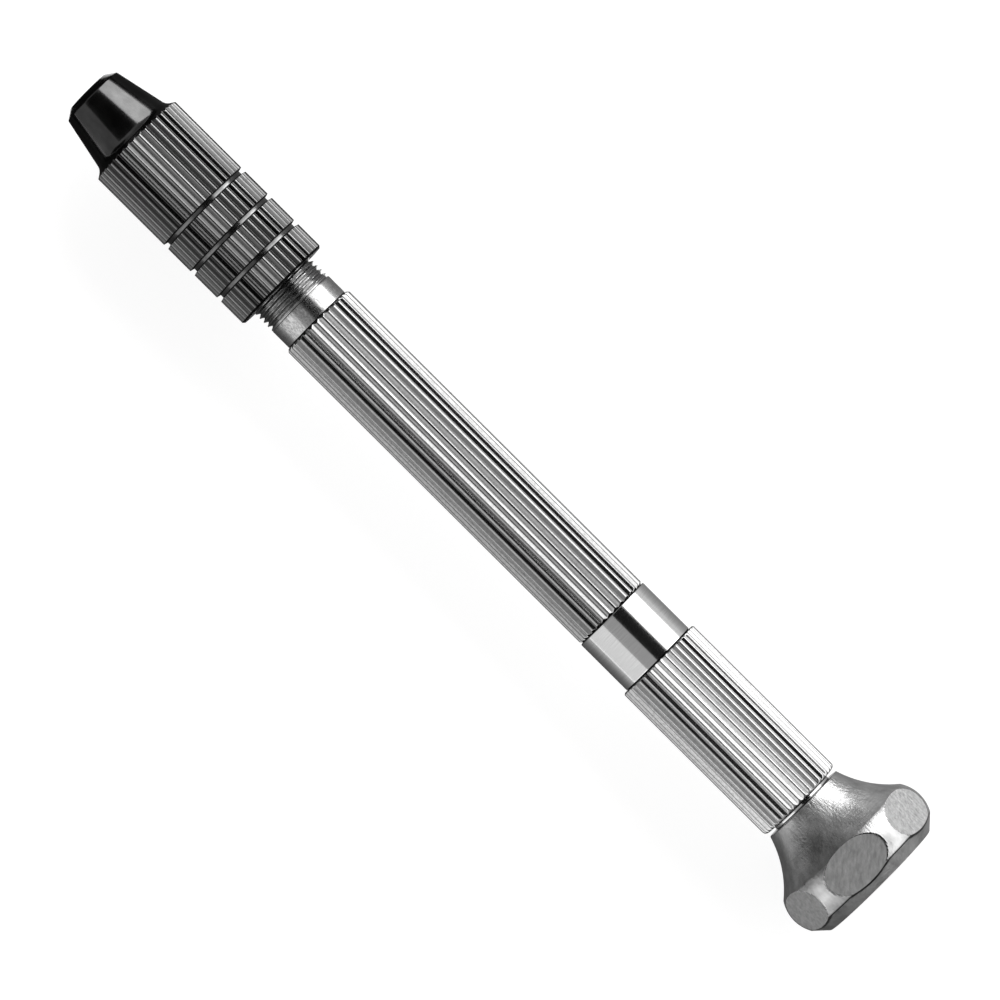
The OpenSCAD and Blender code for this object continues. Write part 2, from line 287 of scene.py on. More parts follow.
fineStep = 0.03      # mm between rings where flutes run out
unsplit = 100        # mm, longer than any piece's straight part
sharpAngle = 38      # degrees between two faces from which the edge between them stays sharp
ribTop = 0.05        # mm below a rib's top that still count as rubbed
fluteShadeAndDirt = 0.4      # how much of the dirt and painted shade of a corner the flutes hold
cornerReach = 0.14   # mm that the dirt and painted shade reach out of a corner


def roundedLine(corners, steps=5):
    # corners are (x, radius, rounding); returns the line through them with each rounded corner as an arc
    line = []
    for i, (x, r, rounding) in enumerate(corners):
        here = Vector((x, r))
        before = Vector(corners[i - 1][:2]) if i else None
        after = Vector(corners[i + 1][:2]) if i + 1 < len(corners) else None
        if not rounding or before is None or after is None:
            line.append((x, r))
            continue
        inward, outward = (before - here).normalized(), (after - here).normalized()
        half = inward.angle(outward) / 2
        reach = rounding / math.tan(half)
        centre = here + (inward + outward).normalized() * rounding / math.sin(half)
        start, end = here + inward * reach - centre, here + outward * reach - centre
        for k in range(steps + 1):
            spoke = start.slerp(end, k / steps)
            line.append(tuple(centre + spoke.normalized() * rounding))
    return line


def splitLine(line, longest):
    # adds points so that no stretch is longer than asked for
    out = [line[0]]
    for (x0, r0), (x1, r1) in zip(line, line[1:]):
        pieces = max(1, math.ceil(math.hypot(x1 - x0, r1 - r0) / longest - 1e-6))
        out += [(x0 + (x1 - x0) * k / pieces, r0 + (r1 - r0) * k / pieces) for k in range(1, pieces + 1)]
    return out


def splitSteep(line, lowest=0.0):
    # adds points where the line climbs or falls above that radius, because flutes run out there
    out = []
    for a, b in zip(line, line[1:]):
        steep = abs(b[1] - a[1]) > 0.02 and b[1] > lowest
        out += splitLine([a, b], fineStep if steep else unsplit)[:-1]
    return out + [line[-1]]


def smoothMin(a, b, k):
    # the smaller of the two, rounded over where they meet
    mix = np.clip(0.5 + 0.5 * (b - a) / k, 0, 1)
    return b * (1 - mix) + a * mix - k * mix * (1 - mix)


def ring(x, radius, angles, edge=0.0, hollow=0.0, zone=0.0):
    # a row for each point: x, y, z in metres, then how worn, how deep in dirt and painted shade, and in which
    # finish it is;
    # finish 0 is turned, 1 is ribs or flats, 2 is a thread or the floor of a groove
    rows = np.empty((len(angles), 6))
    rows[:, 0] = noseX + x * mm
    rows[:, 1] = radius * np.cos(angles) * mm
    rows[:, 2] = axisZ + radius * np.sin(angles) * mm
    rows[:, 3], rows[:, 4], rows[:, 5] = edge, hollow, zone
    return rows


def nearCorner(x, corners):
    # 1 in a corner, where dirt stays and shade is painted, falling to 0 beside it
    return max([0.0] + [1 - abs(x - c) / cornerReach for c in corners])


def skin(name, rings, body, node, material):
    # joins each ring to the next, and the last to the first unless the piece starts at a single point; where
    # the counts differ, each point of the smaller ring takes a fan of the other's
    starts = np.cumsum([0] + [len(r) for r in rings])
    closed = len(rings[0]) > 1
    faces = []
    for i in range(len(rings) if closed else len(rings) - 1):
        k = (i + 1) % len(rings)
        a, b, countA, countB = starts[i], starts[k], len(rings[i]), len(rings[k])
        if countA == countB:
            j = np.arange(countA)
            after = (j + 1) % countA
            faces += np.stack([a + j, a + after, b + after, b + j], 1).tolist()
        elif countA == 1:
            faces += [(a, b + (j + 1) % countB, b + j) for j in range(countB)]
        elif countB == 1:
            faces += [(a + j, a + (j + 1) % countA, b) for j in range(countA)]
        else:
            few, many = (a, b) if countA < countB else (b, a)
            count, share = min(countA, countB), max(countA, countB) // min(countA, countB)
            for j in range(count):
                here, after = few + j, few + (j + 1) % count
                fine = [many + (j * share + m) % (count * share) for m in range(share + 1)]
                middle = share // 2
                fan = [(here, fine[m + 1], fine[m]) for m in range(middle)]
                fan += [(after, fine[m + 1], fine[m]) for m in range(middle, share)]
                fan.append((here, after, fine[middle]))
                faces += fan if countA < countB else [face[::-1] for face in fan]
    rows = np.concatenate(rings)
    mesh = bpy.data.meshes.new(name)
    mesh.from_pydata(rows[:, :3].tolist(), [], faces)
    # the hollow column darkens corners and flute floors with dirt and painted shade
    for label, column in (("wear", 3), ("hollow", 4), ("zone", 5)):
        attribute = mesh.attributes.new(label, "FLOAT", "POINT")
        attribute.data.foreach_set("value", rows[:, column].astype(np.float32))
    mesh.materials.append(material)
    mesh.polygons.foreach_set("use_smooth", np.ones(len(mesh.polygons), bool))
    mesh.set_sharp_from_angle(angle=math.radians(sharpAngle))
    mesh.validate()
    piece = bpy.data.objects.new(name, mesh)
    bpy.context.scene.collection.objects.link(piece)
    weighted = piece.modifiers.new("flat faces stay flat", "WEIGHTED_NORMAL")
    weighted.keep_sharp = True
    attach(piece, body)
    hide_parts(node)
    return piece


def fluteMouth(piece):
    # half the width of a flute where it meets the rib
    return piece["fluteFloor"] + piece["fluteDepth"] / math.tan(math.radians(piece["fluteSlope"]))


def fluteAngles(piece, radius):
    # twelve angles for each flute, close together at its floor and its edges; offsets are mm from its middle
    pitch = 2 * math.pi / piece["flutes"]
    mouth = fluteMouth(piece)
    offsets = np.array([0, 0.03, 0.33 * mouth, 0.66 * mouth, mouth - 0.025, mouth + 0.02]) / radius
    one = np.concatenate([offsets, [pitch / 2], pitch - offsets[:0:-1]])
    return np.concatenate([one + i * pitch for i in range(piece["flutes"])]) + math.radians(piece["turn"])


def flutedRings(line, piece, radius, angles, corners=()):
    # rings along a line of (x, radius) points, cut by straight V flutes where the line stands proud of them
    pitch = 2 * math.pi / piece["flutes"]
    depth, slope, mouth = piece["fluteDepth"], math.tan(math.radians(piece["fluteSlope"])), fluteMouth(piece)
    off = np.abs((angles - math.radians(piece["turn"]) + pitch / 2) % pitch - pitch / 2) * radius
    floor = piece["fluteFloor"]
    wall = radius - depth + slope * (np.sqrt(off ** 2 + floor ** 2) - floor)
    bar = smoothMin(wall, radius, piece["fluteRound"])
    edge = np.clip(1 - np.abs(off - mouth) / piece["wearReach"], 0, 1)
    deep = np.clip((radius - bar) / depth, 0, 1)
    rings = []
    for x, r in line:
        cut = np.minimum(bar, r)
        near = edge * np.clip(1 - (radius - r) / ribTop, 0, 1)
        # dirt and painted shade: the deeper in a flute and the nearer a corner, the darker
        shadeAndDirt = np.clip(deep - (bar - cut) / depth, 0, 1)
        shadeAndDirt = np.maximum(fluteShadeAndDirt * shadeAndDirt, nearCorner(x, corners))
        rings.append(ring(x, cut, angles, near, shadeAndDirt, 1.0))
    return rings


thread = {
    "rings": 15,         # for each turn
    "steepness": 2.4,    # how fast the flanks fall
    "crest": 0.1,        # how much is cut off their tops, which makes the crest flat
    "rubbed": 8,         # how fast the rubbed look goes away down the flanks
    # dirt and painted shade in the roots
    "rootShadeAndDirt": 0.2,
}


def threadRings(front, rear, crest, depth, pitch, angles, fadeFront, fadeRear):
    # right-hand thread: each turn climbs along +X as it goes from +Y over the top to -Y
    t = thread
    rings = []
    for x in np.linspace(front, rear, int((rear - front) / pitch * t["rings"])):
        phase = (x / pitch - angles / (2 * math.pi)) % 1
        # 0 on the crest, 1 in the root
        valley = np.clip((0.5 - np.abs(phase - 0.5)) * t["steepness"] - t["crest"], 0, 1)
        fade = min(1, (x - front) / fadeFront if fadeFront else 1, (rear - x) / fadeRear)
        drop = depth * valley * max(fade, 0)
        rubbed = np.clip(1 - valley * t["rubbed"], 0, 1)
        rings.append(ring(x, crest - drop, angles, rubbed, t["rootShadeAndDirt"] * valley, 2.0))
    return rings


# Materials


def perMm(size):
    # scale of a pattern whose grain is that many millimetres
    return 1 / (size * mm)


def grain(tree, where, size, stretch=(1, 1, 1), detail=2.0, rough=0.5):
    # noise of one grain size, drawn out along an axis where stretch is below 1
    mapped = addNode(tree, "ShaderNodeMapping", {"Vector": where, "Scale": stretch})
    noise = addNode(tree, "ShaderNodeTexNoise", {
        "Vector": mapped.outputs[0], "Scale": perMm(size), "Detail": detail, "Roughness": rough})
    return noise.outputs["Fac"]


def surfaceMarks(tree, where, ribbed, turned, f):
    # the normal: lines that the tool left, round the turned bands and along the ribs, and soft dimples
    drawn = grain(tree, where, f["mark"], (0.02, 1, 1))
    lines = addNode(tree, "ShaderNodeMix", {0: ribbed, 2: turned, 3: drawn})
    dimples = grain(tree, where, f["dimple"], f["dimpleStretch"], 3.0, 0.6)
    height = addNode(tree, "ShaderNodeMapRange", {
        "Value": ribbed, "To Min": f["dimpleHeight"][0] * mm, "To Max": f["dimpleHeight"][1] * mm})
    fine = addNode(tree, "ShaderNodeBump", {
        "Strength": 1.0, "Distance": f["markHeight"] * mm, "Height": lines.outputs[0]})
    soft = addNode(tree, "ShaderNodeBump", {
        "Strength": 1.0, "Distance": height.outputs[0], "Height": dimples, "Normal": fine.outputs[0]})
    return soft.outputs[0]


def finishMetal(tree, colour, rough, normal):
    shader = addNode(tree, "ShaderNodeBsdfPrincipled", {
        "Base Color": colour, "Metallic": 1.0, "Roughness": rough, "Normal": normal})
    addNode(tree, "ShaderNodeOutputMaterial", {"Surface": shader.outputs[0]})


softNoise = {"From Min": 0.3, "From Max": 0.7}      # nearly all values of a soft noise lie between these
finerNoise = {"From Min": 0.25, "From Max": 0.75}   # the same for one with more fine detail
speckleInShadeAndDirt = 0.7     # how far the speckles fray the border of the dirt and painted shade

nickel = {
    "plate": "#cfcfcf",       # bright nickel
    "drawn": "#a8a8a8",       # the ribs, duller than the turned bands
    "thread": "#a4a4a4",      # the thread, bare steel where the plating has worn off
    "shadeAndGrime": "#1e1e1e",       # oil and dust that stay in the corners, with painted shade there
    "speckle": 0.22,          # mm
    "speckleShade": (0.72, 1.12),   # darkest and lightest that the speckles make the ribs
    "markShade": (0.90, 1.04),      # the same for the tool's lines on the turned bands
    "shadeAndGrimeReach": (0.65, 1.3),      # how hidden a place is where the grime and painted shade start, and where they cover all
    "roughness": 0.09,
    "drawnRoughness": 0.11,
    "threadRoughness": 0.17,
    "cloud": 1.8,             # mm between the patches of uneven shine
    "unevenness": 0.06,       # roughness that is added by those patches, by grime and by rubbing
    "grimeRoughness": 0.3,
    "rubbedRoughness": -0.04,
    "mark": 0.07,             # mm between the lines that the tool left, drawn coarser than they are
    "markHeight": 0.0007,     # mm
    "dimple": 0.34,           # mm between the soft dimples of the plating
    "dimpleStretch": (0.6, 1, 1),
    "dimpleHeight": (0.0008, 0.0030),   # mm, on the bands and on the ribs
}

# the handle's ribs are plated a little lighter
handleNickel = dict(nickel, drawn="#bcbcbc", drawnRoughness=0.12)


def brightNickel(name, n):
    # nickel plate over turned steel: mirror bright on the bands, satin on the ribs, dirty and painted dark
    # with shade in the corners
    material, tree = newMaterial(name)
    where = addNode(tree, "ShaderNodeTexCoord").outputs["Object"]
    zone, hollow, wear = [addNode(tree, "ShaderNodeAttribute", attribute_name=label).outputs["Fac"]
                          for label in ("zone", "hollow", "wear")]
    ribbed = addNode(tree, "ShaderNodeMath", {0: zone, 1: 1.0}, operation="MINIMUM").outputs[0]
    threaded = addNode(tree, "ShaderNodeMath", {0: zone, 1: ribbed}, operation="SUBTRACT").outputs[0]
    cloud = grain(tree, where, n["cloud"], (0.4, 1, 1), 4.0, 0.6)
    speckle = grain(tree, where, n["speckle"], (0.6, 1, 1), 3.0, 0.7)
    turned = grain(tree, where, n["mark"], (1, 0.03, 0.03))

    colour = linear(n["plate"])
    for share, over in ((ribbed, n["drawn"]), (threaded, n["thread"])):
        colour = addNode(tree, "ShaderNodeMix", {
            0: share, 6: colour, 7: linear(over)}, data_type="RGBA").outputs[2]
    shade = addNode(tree, "ShaderNodeMapRange", {
        "Value": speckle, **finerNoise, "To Min": n["speckleShade"][0], "To Max": n["speckleShade"][1]})
    smooth = addNode(tree, "ShaderNodeMapRange", {
        "Value": turned, **softNoise, "To Min": n["markShade"][0], "To Max": n["markShade"][1]})
    shade = addNode(tree, "ShaderNodeMix", {0: ribbed, 2: smooth.outputs[0], 3: shade.outputs[0]})
    colour = addNode(tree, "ShaderNodeMix", {
        0: 1.0, 6: colour, 7: shade.outputs[0]}, data_type="RGBA", blend_type="MULTIPLY")
    # grime and painted shade: corners, flute floors and thread roots turn dark
    shadeAndGrime = addNode(tree, "ShaderNodeMath", {
        0: speckle, 1: speckleInShadeAndDirt, 2: hollow}, operation="MULTIPLY_ADD")
    shadeAndGrime = addNode(tree, "ShaderNodeMapRange", {
        "Value": shadeAndGrime.outputs[0], "From Min": n["shadeAndGrimeReach"][0], "From Max": n["shadeAndGrimeReach"][1]},
        interpolation_type="SMOOTHSTEP").outputs[0]
    colour = addNode(tree, "ShaderNodeMix", {
        0: shadeAndGrime, 6: colour.outputs[2], 7: linear(n["shadeAndGrime"])}, data_type="RGBA")

    rough = addNode(tree, "ShaderNodeMapRange", {
        "Value": ribbed, "To Min": n["roughness"], "To Max": n["drawnRoughness"]})
    rough = addNode(tree, "ShaderNodeMix", {
        0: threaded, 2: rough.outputs[0], 3: n["threadRoughness"]}).outputs[0]
    for share, more in ((cloud, n["unevenness"]), (shadeAndGrime, n["grimeRoughness"]), (wear, n["rubbedRoughness"])):
        rough = addNode(tree, "ShaderNodeMath", {
            0: share, 1: more, 2: rough}, operation="MULTIPLY_ADD").outputs[0]
    finishMetal(tree, colour.outputs[2], rough, surfaceMarks(tree, where, ribbed, turned, n))
    return material


oxide = {
    "black": "#545454",       # polished black oxide gives back about a twelfth of the light
    "drawn": "#505050",       # the ribs
    "ground": "#6c6c6c",      # floors of the turned grooves, where little of the black has held
    "shadeAndScale": "#0c0c0c",       # dirt in the corners, with painted shade there
    "bare": "#8c8c8c",        # steel where hands have rubbed the edges
    "rub": 0.75,              # how much of the black is gone from those edges
    "speck": (0.72, 0.80, 0.35),    # noise where bare specks start and are full, and how bare those are
    "speckle": 0.22,          # mm
    "speckleShade": (0.6, 1.2),     # darkest and lightest that the speckles make the ribs
    "cloudShade": (0.72, 1.15),     # the same for the patches on the smooth nose
    "shadeAndScaleReach": (0.6, 1.3),       # how hidden a place is where the dirt and painted shade start, and where they cover all
    "roughness": 0.10,
    "drawnRoughness": 0.11,
    "groundRoughness": 0.13,
    "cloud": 1.5,             # mm between the patches of uneven shine
    "unevenness": 0.08,       # roughness that is added by those patches and by dirt
    "scaleRoughness": 0.4,
    "mark": 0.08,             # mm, drawn coarser than it is
    "markHeight": 0.0008,
    "dimple": 0.4,
    "dimpleStretch": (0.8, 1, 1),
    "dimpleHeight": (0.0006, 0.0034),
}


def blackOxide(name, o):
    # black oxide on polished steel: dark and glossy, rubbed bright on rib edges, with specks, fine marks, and
    # dirt and painted shade in the corners
    material, tree = newMaterial(name)
    where = addNode(tree, "ShaderNodeTexCoord").outputs["Object"]
    zone, hollow, wear = [addNode(tree, "ShaderNodeAttribute", attribute_name=label).outputs["Fac"]
                          for label in ("zone", "hollow", "wear")]
    ribbed = addNode(tree, "ShaderNodeMath", {0: zone, 1: 1.0}, operation="MINIMUM").outputs[0]
    ground = addNode(tree, "ShaderNodeMath", {0: zone, 1: ribbed}, operation="SUBTRACT").outputs[0]
    cloud = grain(tree, where, o["cloud"], (0.6, 1, 1), 4.0, 0.6)
    speckle = grain(tree, where, o["speckle"], (0.6, 1, 1), 3.0, 0.7)
    turned = grain(tree, where, o["mark"], (1, 0.03, 0.03))

    colour = linear(o["black"])
    for share, over in ((ribbed, o["drawn"]), (ground, o["ground"])):
        colour = addNode(tree, "ShaderNodeMix", {
            0: share, 6: colour, 7: linear(over)}, data_type="RGBA").outputs[2]
    shade = addNode(tree, "ShaderNodeMapRange", {
        "Value": speckle, **finerNoise, "To Min": o["speckleShade"][0], "To Max": o["speckleShade"][1]})
    mottle = addNode(tree, "ShaderNodeMapRange", {
        "Value": cloud, **softNoise, "To Min": o["cloudShade"][0], "To Max": o["cloudShade"][1]})
    shade = addNode(tree, "ShaderNodeMix", {0: ribbed, 2: mottle.outputs[0], 3: shade.outputs[0]})
    colour = addNode(tree, "ShaderNodeMix", {
        0: 1.0, 6: colour, 7: shade.outputs[0]}, data_type="RGBA", blend_type="MULTIPLY")
    rub = addNode(tree, "ShaderNodeMath", {0: wear, 1: o["rub"]}, operation="MULTIPLY")
    specks = addNode(tree, "ShaderNodeMapRange", {
        "Value": speckle, "From Min": o["speck"][0], "From Max": o["speck"][1], "To Max": o["speck"][2]})
    bare = addNode(tree, "ShaderNodeMath", {0: rub.outputs[0], 1: specks.outputs[0]}, operation="MAXIMUM")
    # dirt and painted shade: corners, flute floors and the rear edge turn near black
    shadeAndScale = addNode(tree, "ShaderNodeMath", {
        0: speckle, 1: speckleInShadeAndDirt, 2: hollow}, operation="MULTIPLY_ADD")
    shadeAndScale = addNode(tree, "ShaderNodeMapRange", {
        "Value": shadeAndScale.outputs[0], "From Min": o["shadeAndScaleReach"][0], "From Max": o["shadeAndScaleReach"][1]},
        interpolation_type="SMOOTHSTEP").outputs[0]
    colour = colour.outputs[2]
    for share, over in ((bare.outputs[0], o["bare"]), (shadeAndScale, o["shadeAndScale"])):
        colour = addNode(tree, "ShaderNodeMix", {
            0: share, 6: colour, 7: linear(over)}, data_type="RGBA").outputs[2]

    rough = addNode(tree, "ShaderNodeMapRange", {
        "Value": ribbed, "To Min": o["roughness"], "To Max": o["drawnRoughness"]})
    rough = addNode(tree, "ShaderNodeMix", {
        0: ground, 2: rough.outputs[0], 3: o["groundRoughness"]}).outputs[0]
    for share, more in ((shadeAndScale, o["scaleRoughness"]), (cloud, o["unevenness"])):
        rough = addNode(tree, "ShaderNodeMath", {
            0: share, 1: more, 2: rough}, operation="MULTIPLY_ADD").outputs[0]
    finishMetal(tree, colour, rough, surfaceMarks(tree, where, ribbed, turned, o))
    return material


satin = {
    "plate": "#b6b6b6",
    "flat": "#b8b8b8",
    "shadedSeam": "#262626",        # painted shade along the sharp rear border of the rim
    "patch": 1.4,             # mm between the bright patches of the plating
    "patchShade": (0.64, 1.12),     # darkest and lightest that they make it
    "grain": 0.34,            # mm, uneven grain of the milled flats
    "grainSlant": 50,         # degrees between that grain and the tool's axis
    "grainSpan": (0.32, 0.68),      # values of the grain that give its darkest and lightest
    "grainShade": (0.70, 1.08),
    "grainHeight": 0.0600,    # mm
    "roughness": 0.24,
    "flatRoughness": 0.43,
    "patchRoughness": 0.12,   # added in the patches
    "edgeRoughness": 0.12,    # the edges of the flats are rubbed to a shine
    "streak": 0.22,           # mm between the streaks that run from neck to rim
    "streakHeight": 0.0450,
    "turnMark": 0.16,         # mm, drawn coarser than it is
    "turnHeight": 0.0150,
}


def satinNickel(name, s):
    # satin nickel over turned steel: soft bright patches, streaks from neck to rim, and grainy milled flats
    material, tree = newMaterial(name)
    where = addNode(tree, "ShaderNodeTexCoord").outputs["Object"]
    flat, hollow, wear = [addNode(tree, "ShaderNodeAttribute", attribute_name=label).outputs["Fac"]
                          for label in ("zone", "hollow", "wear")]
    patch = grain(tree, where, s["patch"], (0.5, 1, 1), 4.0, 0.65)
    slant = addNode(tree, "ShaderNodeMapping", {
        "Vector": where, "Rotation": (0, 0, math.radians(s["grainSlant"]))}).outputs[0]
    beads = grain(tree, slant, s["grain"], (0.35, 1, 1), 4.0, 0.62)

    colour = addNode(tree, "ShaderNodeMix", {
        0: flat, 6: linear(s["plate"]), 7: linear(s["flat"])}, data_type="RGBA")
    milled = addNode(tree, "ShaderNodeMapRange", {
        "Value": beads, "From Min": s["grainSpan"][0], "From Max": s["grainSpan"][1],
        "To Min": s["grainShade"][0], "To Max": s["grainShade"][1]})
    worn = addNode(tree, "ShaderNodeMapRange", {
        "Value": patch, **softNoise, "To Min": s["patchShade"][0], "To Max": s["patchShade"][1]})
    shade = addNode(tree, "ShaderNodeMix", {0: flat, 2: worn.outputs[0], 3: milled.outputs[0]})
    colour = addNode(tree, "ShaderNodeMix", {
        0: 1.0, 6: colour.outputs[2], 7: shade.outputs[0]}, data_type="RGBA", blend_type="MULTIPLY")
    # painted shade: a dark line along the rim's rear border and beside the flats behind it
    colour = addNode(tree, "ShaderNodeMix", {
        0: hollow, 6: colour.outputs[2], 7: linear(s["shadedSeam"])}, data_type="RGBA")
    rough = addNode(tree, "ShaderNodeMapRange", {
        "Value": flat, "To Min": s["roughness"], "To Max": s["flatRoughness"]})
    rough = addNode(tree, "ShaderNodeMath", {
        0: patch, 1: s["patchRoughness"], 2: rough.outputs[0]}, operation="MULTIPLY_ADD")
    rough = addNode(tree, "ShaderNodeMix", {0: wear, 2: rough.outputs[0], 3: s["edgeRoughness"]})

    rings = grain(tree, where, s["turnMark"], (1, 0.02, 0.02))
    streaks = grain(tree, where, s["streak"], (0.08, 1, 1), 3.0, 0.6)
    fine = addNode(tree, "ShaderNodeBump", {
        "Strength": 1.0, "Distance": s["turnHeight"] * mm, "Height": rings})
    along = addNode(tree, "ShaderNodeBump", {
        "Strength": 1.0, "Distance": s["streakHeight"] * mm, "Height": streaks, "Normal": fine.outputs[0]})
    height = addNode(tree, "ShaderNodeMath", {0: flat, 1: s["grainHeight"] * mm}, operation="MULTIPLY")
    grained = addNode(tree, "ShaderNodeBump", {
        "Strength": 1.0, "Distance": height.outputs[0], "Height": beads, "Normal": along.outputs[0]})
    finishMetal(tree, colour.outputs[2], rough.outputs[0], grained.outputs[0])
    return material


turnedShade = (0.85, 1.0)      # darkest and lightest that patches make plain turned metal
turnedUnevenness = 0.12        # roughness that they add
turnedPatch = 0.9              # mm between them


def turnedMetal(name, hexColour, roughness, mark, height):
    # plain turned metal: rings of fine cutter marks and a little unevenness in its shine
    material, tree = newMaterial(name)
    where = addNode(tree, "ShaderNodeTexCoord").outputs["Object"]
    lines = grain(tree, where, mark, (1, 0.04, 0.04))
    cloud = grain(tree, where, turnedPatch, (1, 1, 1), 3.0, 0.6)
    shade = addNode(tree, "ShaderNodeMapRange", {
        "Value": cloud, **softNoise, "To Min": turnedShade[0], "To Max": turnedShade[1]})
    colour = addNode(tree, "ShaderNodeMix", {
        0: 1.0, 6: linear(hexColour), 7: shade.outputs[0]}, data_type="RGBA", blend_type="MULTIPLY")
    rough = addNode(tree, "ShaderNodeMapRange", {
        "Value": cloud, **softNoise, "To Min": roughness, "To Max": roughness + turnedUnevenness})
    fine = addNode(tree, "ShaderNodeBump", {"Strength": 1.0, "Distance": height * mm, "Height": lines})
    finishMetal(tree, colour.outputs[2], rough.outputs[0], fine.outputs[0])
    return material


# Chuck sleeve

sleeve = {
    "flutes": 40,
    "turn": 4.0,              # degrees that the flutes are turned about the axis
    "fluteDepth": 0.24,
    "fluteSlope": 37.0,       # degrees that a flute's sides fall from the rib
    "fluteFloor": 0.03,
    "fluteRound": 0.012,
    "wearReach": 0.12,        # mm from a flute's mouth that the black is rubbed off
    "holeRadius": 1.85,
    "tipRadius": 2.45,
    "chamfer": (0.7, 3.45),   # where the front chamfer ends: place and radius
    "foot": (6.38, 4.652),    # foot of the shoulder behind the nose
    "footRound": 1.1,
    "noseStep": 0.5,          # mm between rings on the nose
    "gripFront": 6.95,
    "grooves": (16.5, 20.23, 23.96),
    "grooveWidth": 0.62,
    "grooveFloor": 0.38,      # width of the floor
    "grooveDepth": 0.46,
    "edge": 0.2,              # bevel at the rear
    "lip": 0.3,               # width and depth of the step inside the rear end
    "coneEnd": 4.2,
    "coneSlope": 0.2,
    "socketRadius": 2.58,
    "boreStart": 12.6,
    "boreRadius": 4.0,
}


def makeSleeve(s, material):
    front, rear, radius = span("chuck_sleeve")
    angles = fluteAngles(s, radius)
    nose = roundedLine([(0.3, s["holeRadius"], 0), (0, s["holeRadius"], 0.08), (0, s["tipRadius"], 0.1),
                        (*s["chamfer"], 0.2), (*s["foot"], s["footRound"]),
                        (s["gripFront"], radius, 0.03), (s["gripFront"] + 0.2, radius, 0)], 9)
    line = []
    for a, b in zip(nose, nose[1:]):
        atFoot = s["foot"][0] < b[0] < s["gripFront"] + 0.1
        line += splitLine([a, b], fineStep if atFoot else s["noseStep"])[:-1]
    half, flat = s["grooveWidth"] / 2, s["grooveFloor"] / 2
    corners = [(s["gripFront"] + 0.2, radius, 0)]
    for g in s["grooves"]:
        floor = radius - s["grooveDepth"]
        corners += [(g - half, radius, 0.04), (g - flat, floor, 0.04),
                    (g + flat, floor, 0.04), (g + half, radius, 0.04)]
    corners += [(rear - s["edge"], radius, 0.06), (rear, radius - s["edge"], 0.05),
                (rear, s["boreRadius"] + s["lip"], 0.03), (rear - s["lip"], s["boreRadius"], 0)]
    line += splitSteep(roundedLine(corners, 4), radius - 0.3)
    coneStart = s["coneEnd"] - (s["socketRadius"] - s["holeRadius"]) / s["coneSlope"]
    inside = [(s["boreStart"], s["boreRadius"]), (s["boreStart"], s["socketRadius"]),
              (s["coneEnd"], s["socketRadius"]), (coneStart, s["holeRadius"])]
    # the sides of the grooves take dirt and painted shade as corners
    sides = [g + side * (half + flat) / 2 for g in s["grooves"] for side in (-1, 1)]
    rings = flutedRings(line, s, radius, angles, sides)
    # turned nose, ground groove floors, and a rear edge painted near black as the shade of the gap behind the
    # sleeve
    for (x, r), row in zip(line, rings):
        if x < s["foot"][0]:
            row[:, 5] = 0.0
        if min(abs(x - g) for g in s["grooves"]) < flat + 0.03:
            row[:, 5] = 2.0
        if x > rear - s["edge"] - 0.02:
            row[:, 4] = 1.0
    rings += [ring(x, r, angles) for x, r in inside]
    return skin("chuck_sleeve_body", rings, "chuck", "chuck_sleeve", material)


makeSleeve(sleeve, blackOxide("black oxide on polished steel", oxide))
print("chuck sleeve made")


# Barrel

barrel = {
    "flutes": 32,
    "turn": 4.7,
    "fluteDepth": 0.235,
    "fluteSlope": 37.0,
    "fluteFloor": 0.01,
    "fluteRound": 0.01,
    "wearReach": 0.05,        # mm from a flute's mouth that is rubbed bright
    "collarShadeAndDirt": 0.55,       # dirt and painted shade on the collar between sleeve and grip, 0 none to 1 black
    "collarRadius": 3.95,
    "threadEnd": 30.1,
    "threadPitch": 0.57,
    "threadDepth": 0.38,
    "gripFront": 32.4,
    "gripRadius": 4.325,
    "ringFront": 73.95,
    "ringEnd": 80.45,
    "ringBevel": 0.08,
    "edge": 0.25,             # bevel at both ends of the grip
    "tailRadius": 3.5,
    "tailPitch": 0.75,
    "tailDepth": 0.4,
    "fades": (0.35, 0.3),     # mm over which the front and the tail thread run out
    "socketRadius": 2.58,
    "seat": 20.3,
    "throughRadius": 1.65,
    "storeFront": 71.6,
    "storeRadius": 2.9,
}


